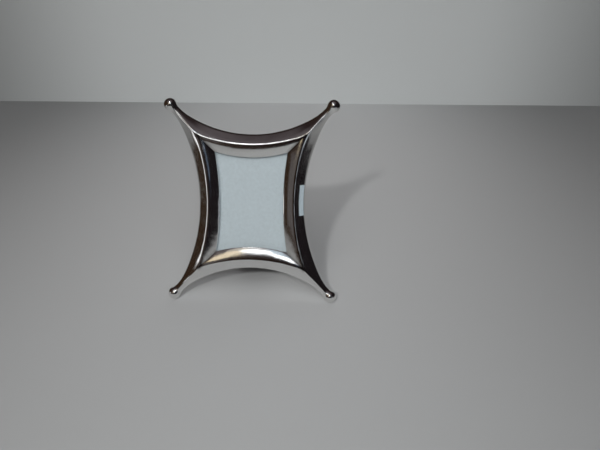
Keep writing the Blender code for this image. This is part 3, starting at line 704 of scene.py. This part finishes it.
def make_lower_leaf(look):
    """Rolled about the pin, with a tongue that lies along the upper leaf when the leg is open."""
    half = LOWER_LEAF_WIDTH / 2
    opening = math.degrees(LEG_OPENING)
    front = UPPER_LEAF_BACK + GAP
    tongue_front = math.degrees(math.acos(front / KNUCKLE_RADIUS))
    turn = Matrix.Rotation(-LEG_OPENING, 2)
    outline = [Vector((KNUCKLE_RADIUS, -LOWER_LEAF_HEIGHT))]
    outline += arc(KNUCKLE_RADIUS, 0, 90 - opening, ROLL_STEPS // 4)
    outline += [turn @ Vector((0, STOP_HEIGHT)), turn @ Vector((front, STOP_HEIGHT))]
    outline += arc(KNUCKLE_RADIUS, tongue_front - opening, ROLL_SWEEP, ROLL_STEPS)
    outline += arc(KNUCKLE_BORE, ROLL_SWEEP, 0, ROLL_STEPS)
    outline += [Vector((KNUCKLE_BORE, -LOWER_LEAF_HEIGHT))]
    leaf = add_object("lower_leaf_steel", bar_mesh("lower_leaf", outline, half), look)
    knuckle = LOWER_KNUCKLE_WIDTH / 2
    shoulder = -KNUCKLE_RADIUS - GAP
    for side in (-1, 1):
        low, high = sorted((side * knuckle, side * 2 * half))
        box = box_mesh("shoulder", (low, -STOP_HEIGHT, shoulder), (high, 2 * STOP_HEIGHT, 2 * STOP_HEIGHT))
        cut(leaf, box, Matrix())
    reach = 2 * KNUCKLE_RADIUS
    drill(leaf, RIVET_RADIUS + GAP / 2, -reach, reach, both_sides(LEG_RIVET_PLACE))
    round_edges(leaf, LEAF_ROUND)
    settle(leaf, leg_matrix(), "leg", "hinge_lower_leaf")


def turned_mesh(name, profile, steps=TURN_STEPS):
    """A solid turned about Y. The profile's points are (radius, depth), from axis to axis."""
    made = bmesh.new()
    points = [made.verts.new((radius, depth, 0)) for radius, depth in profile]
    edges = [made.edges.new(pair) for pair in zip(points, points[1:])]
    bmesh.ops.spin(
        made, geom=points + edges, cent=(0, 0, 0), axis=(0, 1, 0), angle=2 * math.pi, steps=steps
    )
    bmesh.ops.remove_doubles(made, verts=made.verts, dist=MERGE)
    return mesh_from_bmesh(name, made)


def dome(radius, base, height, edge=DOME_EDGE):
    """Half of a low round head, as (radius, depth), from its top to its base. Edge is its upright share."""
    points = []
    for step in range(DOME_STEPS + 1):
        angle = math.pi / 2 * step / DOME_STEPS
        points.append((radius * math.sin(angle), base + height * (edge + (1 - edge) * math.cos(angle))))
    return points + [(radius, base)]


def make_pin(look):
    """A plain pin with rounded ends."""
    half = UPPER_LEAF_WIDTH / 2 + PIN_OVERHANG
    end = dome(PIN_RADIUS, half - PIN_OVERHANG, PIN_OVERHANG, 0)[:-1]
    profile = end + [(radius, -depth) for radius, depth in reversed(end)]
    pin = add_object("pin_steel", turned_mesh("pin", profile), look)
    settle(pin, hinge_matrix() @ Matrix.Rotation(math.pi / 2, 4, "Z"), "frame", "hinge_pin")


def make_rivets(look, name, place, surface, matrix, body):
    profile = dome(RIVET_HEAD_RADIUS, surface, RIVET_HEAD_HEIGHT)
    profile += [(RIVET_RADIUS, surface), (RIVET_RADIUS, surface - RIVET_LENGTH), (0, surface - RIVET_LENGTH)]
    for side, label in ((-1, "left"), (1, "right")):
        rivet = add_object(f"{name}_domed_{label}", turned_mesh(name, profile), look)
        at = matrix @ Matrix.Translation((side * place.x, 0, place.y))
        settle(rivet, at, body, f"{name}_{label}")


# ---------------------------------------------------------------- turn buttons


def button_outline():
    """A pear: a round end about the screw and a smaller round tip, joined by the lines that touch both."""
    tip = BUTTON_REACH - BUTTON_TIP_RADIUS
    lean = math.acos((BUTTON_END_RADIUS - BUTTON_TIP_RADIUS) / tip)
    points = []
    for step in range(PEAR_STEPS + 1):
        angle = -lean + 2 * lean * step / PEAR_STEPS
        points.append(Vector((tip, 0)) + BUTTON_TIP_RADIUS * Vector((math.cos(angle), math.sin(angle))))
    for step in range(PEAR_STEPS + 1):
        angle = lean + 2 * (math.pi - lean) * step / PEAR_STEPS
        points.append(BUTTON_END_RADIUS * Vector((math.cos(angle), math.sin(angle))))
    return points


def make_button(look, name, place, towards_right):
    front = BACK_DEPTH + GAP
    mesh = slab_mesh("button", button_outline(), front, BUTTON_THICKNESS)
    button = add_object("turn_button_stamped_" + name, mesh, look)
    drill(button, SCREW_RADIUS + GAP, 0, 2 * front, [(0, 0)])
    round_edges(button, BUTTON_ROUND)
    turn = Matrix() if towards_right else Matrix.Rotation(math.pi, 4, "Y")
    settle(button, place @ turn, "turn_button_" + name, "turn_button_" + name)


def make_screw(look, name, place, slot_turn):
    """Pan head on the side of the back, shank towards the front."""
    surface = BACK_DEPTH + GAP + BUTTON_THICKNESS + GAP
    profile = dome(SCREW_HEAD_RADIUS, surface, SCREW_HEAD_HEIGHT, PAN_EDGE)
    profile += [
        (SCREW_RADIUS, surface),
        (SCREW_RADIUS, surface - SCREW_LENGTH + SCREW_RADIUS / 2),
        (SCREW_RADIUS / 2, surface - SCREW_LENGTH),
        (0, surface - SCREW_LENGTH),
    ]
    screw = add_object("screw_slotted_" + name, turned_mesh("screw", profile), look)
    head = surface + SCREW_HEAD_HEIGHT
    low = (-2 * SCREW_HEAD_RADIUS, head - SLOT_DEPTH, -SLOT_WIDTH / 2)
    high = (2 * SCREW_HEAD_RADIUS, head + CUT_PAST, SLOT_WIDTH / 2)
    cut(screw, box_mesh("slot", low, high), Matrix.Rotation(slot_turn, 4, "Y"))
    round_edges(screw, SCREW_ROUND, steps=2, above=40)
    settle(screw, place, "frame", "button_screw_" + name)


def make_buttons(look):
    for z, height in ((SCREW_PLACE.y, "upper"), (-SCREW_PLACE.y, "lower")):
        for x, side in ((-SCREW_PLACE.x, "left"), (SCREW_PLACE.x, "right")):
            place = pose_matrix() @ Matrix.Translation((x, 0, z))
            make_button(look, f"{height}_{side}", place, x < 0)
            make_screw(look, f"{height}_{side}", place, math.copysign(SLOT_TURN, x * z))


# ---------------------------------------------------------------- label


def label_point(z, share, lift):
    """A point this far off the right flank, at a height z and a share of the flank's width."""
    side = RIGHT_SIDE
    position = math.asin(abs(z) / side.outer_radius) / side.corner_angle
    ridge, outer = side.ridge(position), side.outer(position)
    steep = EDGE_DEPTH * crest_slope(share) / (outer - ridge).length
    normal = Vector((steep, 1)).normalized()
    x = blend(ridge.y, outer.y, share) + lift * normal.x
    return Vector((x, EDGE_DEPTH * crest(share) - lift * normal.y, z))


def make_label(look):
    """A strip of paper bent to the flank, one sheet thick."""
    made = bmesh.new()
    rows = []
    for step in range(LABEL_STEPS + 1):
        z = LABEL_MIDDLE + blend(-LABEL_HALF_LENGTH, LABEL_HALF_LENGTH, step / LABEL_STEPS)
        shares = [blend(LABEL_FROM, LABEL_TO, i / LABEL_COLUMNS) for i in range(LABEL_COLUMNS + 1)]
        rows.append([made.verts.new(label_point(z, share, GAP + LABEL_THICKNESS)) for share in shares])
    for first, second in zip(rows, rows[1:]):
        for i in range(LABEL_COLUMNS):
            made.faces.new((first[i], second[i], second[i + 1], first[i + 1]))
    label = add_object("label_strip", mesh_from_bmesh("label", made), look)
    sheet = label.modifiers.new("sheet", "SOLIDIFY")
    sheet.thickness = LABEL_THICKNESS
    sheet.offset = -1
    apply_modifiers(label)
    round_edges(label, LABEL_THICKNESS / 4, steps=1, above=60)
    settle(label, pose_matrix(), "frame", "side_label")


# ---------------------------------------------------------------- materials


def new_material(name):
    made = bpy.data.materials.new(name)
    made.use_nodes = True
    tree = made.node_tree
    shader = tree.nodes["Principled BSDF"]
    return made, tree, shader


def set_inputs(made, values):
    for key, value in values.items():
        made.inputs[key].default_value = value


def node(tree, kind, **values):
    """A node with the inputs and settings given by name."""
    made = tree.nodes.new(kind)
    for key, value in values.items():
        if key in made.inputs:
            made.inputs[key].default_value = value
        else:
            setattr(made, key, value)
    return made


def object_place(tree):
    return node(tree, "ShaderNodeTexCoord").outputs["Object"]


def stretched(tree, place, **values):
    made = node(tree, "ShaderNodeMapping", **values)
    tree.links.new(place, made.inputs["Vector"])
    return made.outputs["Vector"]


def noise_at(tree, place, scale, detail, roughness=0.6):
    made = node(tree, "ShaderNodeTexNoise", Scale=scale, Detail=detail, Roughness=roughness)
    tree.links.new(place, made.inputs["Vector"])
    return made.outputs["Fac"]


def map_range(tree, value, start, end, low=0, high=1, kind="LINEAR"):
    """Maps the range from start to end onto the one from low to high."""
    made = node(tree, "ShaderNodeMapRange", interpolation_type=kind)
    set_inputs(made, {"From Min": start, "From Max": end, "To Min": low, "To Max": high})
    tree.links.new(value, made.inputs["Value"])
    return made.outputs["Result"]


def product(tree, a, b):
    made = node(tree, "ShaderNodeMath", operation="MULTIPLY", use_clamp=True)
    tree.links.new(a, made.inputs[0])
    tree.links.new(b, made.inputs[1])
    return made.outputs["Value"]


def mix(tree, factor, a, b, data_type="RGBA", blend_type="MIX"):
    """From a at factor 0 to b at factor 1. Either may be a value or what another node puts out."""
    made = node(tree, "ShaderNodeMix", data_type=data_type, blend_type=blend_type)
    for key, given in (("A", a), ("B", b)):
        if isinstance(given, bpy.types.NodeSocket):
            tree.links.new(given, made.inputs[key])
        else:
            made.inputs[key].default_value = given
    tree.links.new(factor, made.inputs["Factor"])
    return made.outputs["Result"]


def bump(tree, height, distance, strength):
    made = node(tree, "ShaderNodeBump", Strength=strength, Distance=distance)
    tree.links.new(height, made.inputs["Height"])
    return made


def raise_bump(tree, shader, height, distance, strength):
    made = bump(tree, height, distance, strength)
    tree.links.new(made.outputs["Normal"], shader.inputs["Normal"])


def polished_metal():
    """Hand-polished casting: slightly wavy, with fine scratches and a little haze, and sandy on its back."""
    made, tree, shader = new_material("polished_casting")
    link = tree.links.new
    place = object_place(tree)
    painted_shade = node(tree, "ShaderNodeAttribute", attribute_name="painted_shade").outputs["Fac"]
    raw = node(tree, "ShaderNodeAttribute", attribute_name="as_cast").outputs["Fac"]
    haze = noise_at(tree, place, 160, 5, 0.65)
    tone = mix(tree, haze, (0.80, 0.79, 0.775, 1), (0.90, 0.90, 0.89, 1))
    # Painted shade: the mitred corners are darkened to near-black, in patches
    patchy_shade = product(tree, painted_shade, map_range(tree, haze, 0.35, 0.6, 0.4, 1.3))
    painted_shade_tone = mix(tree, patchy_shade, tone, (0.05, 0.04, 0.035, 1))
    link(painted_shade_tone, shader.inputs["Base Color"])
    shader.inputs["Metallic"].default_value = 1
    polished = map_range(tree, haze, 0.3, 0.7, 0.09, 0.17)
    link(mix(tree, raw, polished, 0.46, data_type="FLOAT"), shader.inputs["Roughness"])

    drawn = stretched(tree, place, Scale=(260, 260, 2600), Rotation=(0.3, 0.2, 0.6))
    wavy = bump(tree, noise_at(tree, place, 55, 1.5, 0.4), 0.8 * MM, 0.2)
    scratched = bump(tree, noise_at(tree, drawn, 1, 4, 0.7), 0.02 * MM, 0.12)
    sandy = bump(tree, product(tree, noise_at(tree, place, 1500, 4), raw), 0.1 * MM, 0.6)
    link(wavy.outputs["Normal"], scratched.inputs["Normal"])
    link(scratched.outputs["Normal"], sandy.inputs["Normal"])
    link(sandy.outputs["Normal"], shader.inputs["Normal"])
    return made


def noise_map(tree, scale, detail, low, high, stretch=None):
    """Object-space noise mapped from its middle range to low and high."""
    place = object_place(tree)
    if stretch:
        place = stretched(tree, place, Scale=stretch)
    return map_range(tree, noise_at(tree, place, scale, detail), 0.32, 0.68, low, high)


def tint(tree, shader, factor, start, end):
    """Colours the shader from one tone to another."""
    tone = mix(tree, factor, (*start, 1), (*end, 1))
    tree.links.new(tone, shader.inputs["Base Color"])


def nickel_steel():
    """Stamped sheet with a nickel plate: faint drawing marks across, and small dull patches."""
    made, tree, shader = new_material("nickel_steel")
    shader.inputs["Metallic"].default_value = 1
    tint(tree, shader, noise_map(tree, 320, 5, 0, 1), (0.46, 0.445, 0.42), (0.66, 0.65, 0.63))
    marks = noise_map(tree, 1, 4, 0.2, 0.42, (300, 6000, 6000))
    tree.links.new(marks, shader.inputs["Roughness"])
    raise_bump(tree, shader, noise_map(tree, 1, 4, 0, 1, (250, 5000, 5000)), 0.015 * MM, 0.5)
    return made


def black_velvet():
    """Short black pile that catches light at its edges, brushed in patches."""
    made, tree, shader = new_material("black_velvet")
    patches = noise_map(tree, 90, 4, 0, 1)
    tint(tree, shader, patches, (0.006, 0.006, 0.007), (0.022, 0.021, 0.023))
    set_inputs(shader, {"Roughness": 0.95, "Specular IOR Level": 0.15})
    set_inputs(shader, {"Sheen Weight": 0.35, "Sheen Roughness": 0.35, "Sheen Tint": (0.5, 0.5, 0.53, 1)})
    raise_bump(tree, shader, noise_map(tree, 3200, 3, 0, 1), 0.12 * MM, 0.8)
    return made


def paper(name, colour, roughness, fibre):
    """Paper with a faint cloudy tone and fine fibres."""
    made, tree, shader = new_material(name)
    darker = [0.94 * c for c in colour]
    tint(tree, shader, noise_map(tree, fibre, 6, 0, 1), darker, [min(1, 1.05 * c) for c in colour])
    set_inputs(shader, {"Roughness": roughness, "Specular IOR Level": 0.3})
    raise_bump(tree, shader, noise_map(tree, 6 * fibre, 3, 0, 1), 0.02 * MM, 0.4)
    return made


def grey_board():
    """Recycled board, speckled with darker and lighter fibres."""
    made, tree, shader = new_material("grey_board")
    tint(tree, shader, noise_map(tree, 2200, 4, 0, 1), (0.27, 0.25, 0.22), (0.50, 0.48, 0.45))
    shader.inputs["Roughness"].default_value = 0.92
    raise_bump(tree, shader, noise_map(tree, 2600, 4, 0, 1), 0.06 * MM, 0.6)
    return made


def clear_glass():
    """Glass for what the camera sees, and open to the light that falls on the card."""
    made, tree, shader = new_material("clear_glass")
    link = tree.links.new
    set_inputs(shader, {"Base Color": (0.97, 0.99, 0.98, 1), "IOR": 1.5, "Transmission Weight": 1})
    link(noise_map(tree, 60, 3, 0, 0.03), shader.inputs["Roughness"])
    path = node(tree, "ShaderNodeLightPath")
    open_way = node(tree, "ShaderNodeBsdfTransparent")
    either = node(tree, "ShaderNodeMixShader")
    link(path.outputs["Is Camera Ray"], either.inputs["Fac"])
    link(open_way.outputs["BSDF"], either.inputs[1])
    link(shader.outputs["BSDF"], either.inputs[2])
    link(either.outputs["Shader"], tree.nodes["Material Output"].inputs["Surface"])
    return made


# ---------------------------------------------------------------- stage, lights, camera

LIT_PLACE = Vector((0, -0.03, 0.045))  # the middle of the lower slope, which mirrors the lights
GLOW_AZIMUTH, GLOW_ELEVATION = -8, 62  # where the room is least dim
PAINTED_FALLOFF_ACROSS, PAINTED_FALLOFF_ALONG = 1.5, 0.75  # how fast the painted falloff of light darkens the stage along X and along Y
PAINTED_FALLOFF_SHARE = 0.45  # of its colour that is left where the painted falloff of light is darkest

CAMERA_PLACE = Vector((0.0584, -0.4316, 0.2508))
CAMERA_LOOK = Vector((-0.04399, 0.90998, -0.41232))
CAMERA_LENS = 35.34  # mm
SENSOR_WIDTH = 36  # mm

# Azimuth, elevation, distance, size, power and colour. They light matt surfaces, and nothing mirrors them.
AREA_LIGHTS = {
    "key": (-10, 32, 1.9, (0.1, 0.1), 9.3, (1.0, 0.99, 0.97)),
    "flash": (9, 31, 0.47, (0.03, 0.03), 0.3, (0.96, 0.99, 1.0)),
    "fill": (3, 36, 1.6, (1.4, 1.4), 6.6, (0.98, 1.0, 1.0)),
    "back_fill": (165, 48, 1.4, (1.2, 1.2), 2.2, (1.0, 0.99, 0.97)),
}

# Azimuths, elevations, distance, radiance and colour. The metal mirrors these.
PANELS = {
    "bright_panel": ((-15, 3), (41, 50), 0.9, 2.6, (0.97, 0.99, 1.0)),
    "bright_right_panel": ((3, 13), (29, 43), 0.9, 2.0, (0.93, 0.97, 1.0)),
    "low_panel": ((-13, 3), (34, 41), 0.9, 0.6, (0.92, 0.96, 1.0)),
    "high_panel": ((-13, 3), (50, 64), 0.8, 0.45, (0.95, 0.98, 1.0)),
    "high_blue_panel": ((3, 17), (43, 60), 0.8, 0.6, (0.68, 0.86, 1.0)),
    "warm_panel": ((-28, -15), (24, 45), 0.8, 0.8, (1.0, 0.85, 0.60)),
    "high_warm_panel": ((-30, -13), (45, 60), 0.8, 0.4, (1.0, 0.92, 0.78)),
    "crest_panel": ((-30, -10), (63, 75), 0.8, 3.4, (0.97, 0.98, 1.0)),
    "left_panel": ((-45, -15), (0, 22), 0.8, 0.07, (0.88, 0.92, 1.0)),
    "blue_panel": ((10, 14), (16, 29), 0.7, 0.2, (0.5, 0.7, 1.0)),
}

# The same, for glints on the balls and the side ridges. They light nothing matt.
GLINT_PANELS = {
    "left_glint_panel": ((-77, -64), (-3, 7), 0.4, 1.1, (0.95, 0.97, 1.0)),
    "right_glint_panel": ((46, 58), (-3, 8), 0.4, 0.5, (0.85, 0.92, 1.0)),
}


def direction(azimuth, elevation):
    """Unit vector at this elevation and azimuth, in degrees from the front (-Y) to the right."""
    turn, rise = math.radians(azimuth), math.radians(elevation)
    return Vector((math.sin(turn) * math.cos(rise), -math.cos(turn) * math.cos(rise), math.sin(rise)))


def flat_stage(name, corners, look):
    mesh = bpy.data.meshes.new(name)
    mesh.from_pydata(corners, [], [(0, 1, 2, 3)])
    obj = bpy.data.objects.new(name, mesh)
    bpy.context.scene.collection.objects.link(obj)
    mesh.materials.append(look)
    return obj


def stage_look(name, colour, roughness, middle, full, dark):
    """Pale paint with a painted falloff of light: it darkens with the distance from a middle on the line X =
    0, from full to dark.
    """
    made, tree, shader = new_material(name)
    link = tree.links.new
    flat = node(tree, "ShaderNodeVectorMath", operation="MULTIPLY")
    flat.inputs[1].default_value = (PAINTED_FALLOFF_ACROSS, PAINTED_FALLOFF_ALONG, 0)
    link(object_place(tree), flat.inputs[0])
    away = node(tree, "ShaderNodeVectorMath", operation="DISTANCE")
    away.inputs[1].default_value = (0, PAINTED_FALLOFF_ALONG * middle, 0)
    link(flat.outputs["Vector"], away.inputs[0])
    # Painted light: the colour darkens away from the middle, as if the light fell off there
    dim = map_range(tree, away.outputs["Value"], full, dark, kind="SMOOTHSTEP")
    tint(tree, shader, dim, colour, [PAINTED_FALLOFF_SHARE * c for c in colour])
    set_inputs(shader, {"Roughness": roughness, "Specular IOR Level": 0.2})
    return made


def make_stage():
    """A floor that widens towards a low wall, so small that the flanks mirror the dim room beyond."""
    front, back_left, back_right, top = -0.5, 0.673, 0.688, 0.5
    front_half, back_half = 0.33, 0.68
    left_corner, right_corner = (-back_half, back_left, 0), (back_half, back_right, 0)
    floor = flat_stage(
        "floor",
        [(-front_half, front, 0), (front_half, front, 0), right_corner, left_corner],
        stage_look("pale_floor", (0.84, 0.855, 0.865), 0.6, 0.5, 0.1, 0.75),
    )
    wall = flat_stage(
        "backdrop",
        [left_corner, right_corner, (back_half, back_right, top), (-back_half, back_left, top)],
        stage_look("pale_wall", (0.82, 0.855, 0.86), 0.8, back_left, 0.45, 1.09),
    )


def area_light(name, azimuth, elevation, distance, size, power, colour):
    """A light in this direction from the lower slope, facing it."""
    data = bpy.data.lights.new(name, "AREA")
    data.shape = "RECTANGLE"
    data.size, data.size_y = size
    data.energy = power
    data.color = colour
    obj = bpy.data.objects.new(name, data)
    bpy.context.scene.collection.objects.link(obj)
    towards = direction(azimuth, elevation)
    obj.location = LIT_PLACE + distance * towards
    obj.rotation_mode = "QUATERNION"
    obj.rotation_quaternion = (-towards).to_track_quat("-Z", "Y")
    obj.visible_camera = False
    return obj


def panel_light(name, azimuths, elevations, distance, radiance, colour):
    """A panel that fills this patch of directions, with a given radiance."""
    azimuth, elevation = sum(azimuths) / 2, sum(elevations) / 2
    spread = math.radians(azimuths[1] - azimuths[0]) * math.cos(math.radians(elevation))
    rise = math.radians(elevations[1] - elevations[0])
    size = (2 * distance * math.tan(spread / 2), 2 * distance * math.tan(rise / 2))
    power = radiance * math.pi * size[0] * size[1]
    return area_light(name, azimuth, elevation, distance, size, power, colour)


def room_shader():
    """A dim room, brown on the left, with a glow high up. It is pale where the camera sees past the stage."""
    world = bpy.data.worlds.new("room")
    world.use_nodes = True
    tree = world.node_tree
    link = tree.links.new
    place = node(tree, "ShaderNodeTexCoord").outputs["Generated"]
    split = node(tree, "ShaderNodeSeparateXYZ")
    link(place, split.inputs["Vector"])
    near = node(tree, "ShaderNodeVectorMath", operation="DOT_PRODUCT")
    near.inputs[1].default_value = direction(GLOW_AZIMUTH, GLOW_ELEVATION)
    link(place, near.inputs[0])
    right = map_range(tree, split.outputs["X"], -0.35, 0.1)
    above = map_range(tree, split.outputs["Z"], 0.55, 0.85)
    halo = map_range(tree, near.outputs["Value"], 0.72, 0.97, kind="SMOOTHSTEP")
    seen = node(tree, "ShaderNodeLightPath").outputs["Is Camera Ray"]
    sides = mix(tree, right, (0.030, 0.018, 0.011, 1), (0.010, 0.008, 0.009, 1))
    room = mix(tree, above, sides, (0.022, 0.015, 0.015, 1))
    lit_room = mix(tree, halo, room, (0.085, 0.078, 0.083, 1), blend_type="ADD")
    tone = mix(tree, seen, lit_room, (0.45, 0.46, 0.46, 1))
    link(tone, tree.nodes["Background"].inputs["Color"])
    return world


def make_lights():
    bpy.context.scene.world = room_shader()
    bpy.context.scene.view_settings.view_transform = "Standard"
    for name, values in AREA_LIGHTS.items():
        area_light(name, *values).visible_glossy = False
    for name, values in PANELS.items():
        panel_light(name, *values)
    for name, values in GLINT_PANELS.items():
        panel_light(name, *values).visible_diffuse = False


def make_camera():
    data = bpy.data.cameras.new("camera")
    data.sensor_width = SENSOR_WIDTH
    data.lens = CAMERA_LENS
    data.clip_start = 0.01
    camera = bpy.data.objects.new("camera", data)
    bpy.context.scene.collection.objects.link(camera)
    camera.location = CAMERA_PLACE
    camera.rotation_mode = "QUATERNION"
    camera.rotation_quaternion = CAMERA_LOOK.to_track_quat("-Z", "Y")
    bpy.context.scene.camera = camera


# ---------------------------------------------------------------- everything

make_camera()
make_stage()
make_lights()
steel = nickel_steel()
velvet = black_velvet()
make_frame(polished_metal())
make_board(velvet)
make_leg(velvet)
make_upper_leaf(steel)
make_lower_leaf(steel)
make_pin(steel)
make_rivets(steel, "board_rivet", BOARD_RIVET_PLACE, UPPER_LEAF_BACK + GAP, hinge_matrix(), "frame")
make_rivets(steel, "leg_rivet", LEG_RIVET_PLACE, KNUCKLE_RADIUS + GAP, leg_matrix(), "leg")
make_buttons(steel)
# The label's colour is darker than white paper: painted shade for the partial shade it lies in on the flank
make_label(paper("label_paper", (0.545, 0.64, 0.70), 0.45, 900))
looks = {
    "glass_pane": clear_glass(),
    "number_card": paper("white_card", (0.53, 0.60, 0.64), 0.75, 500),
    "filler_card": grey_board(),
}
for name, look in looks.items():
    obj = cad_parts[name]
    obj.data.materials.clear()
    obj.data.materials.append(look)
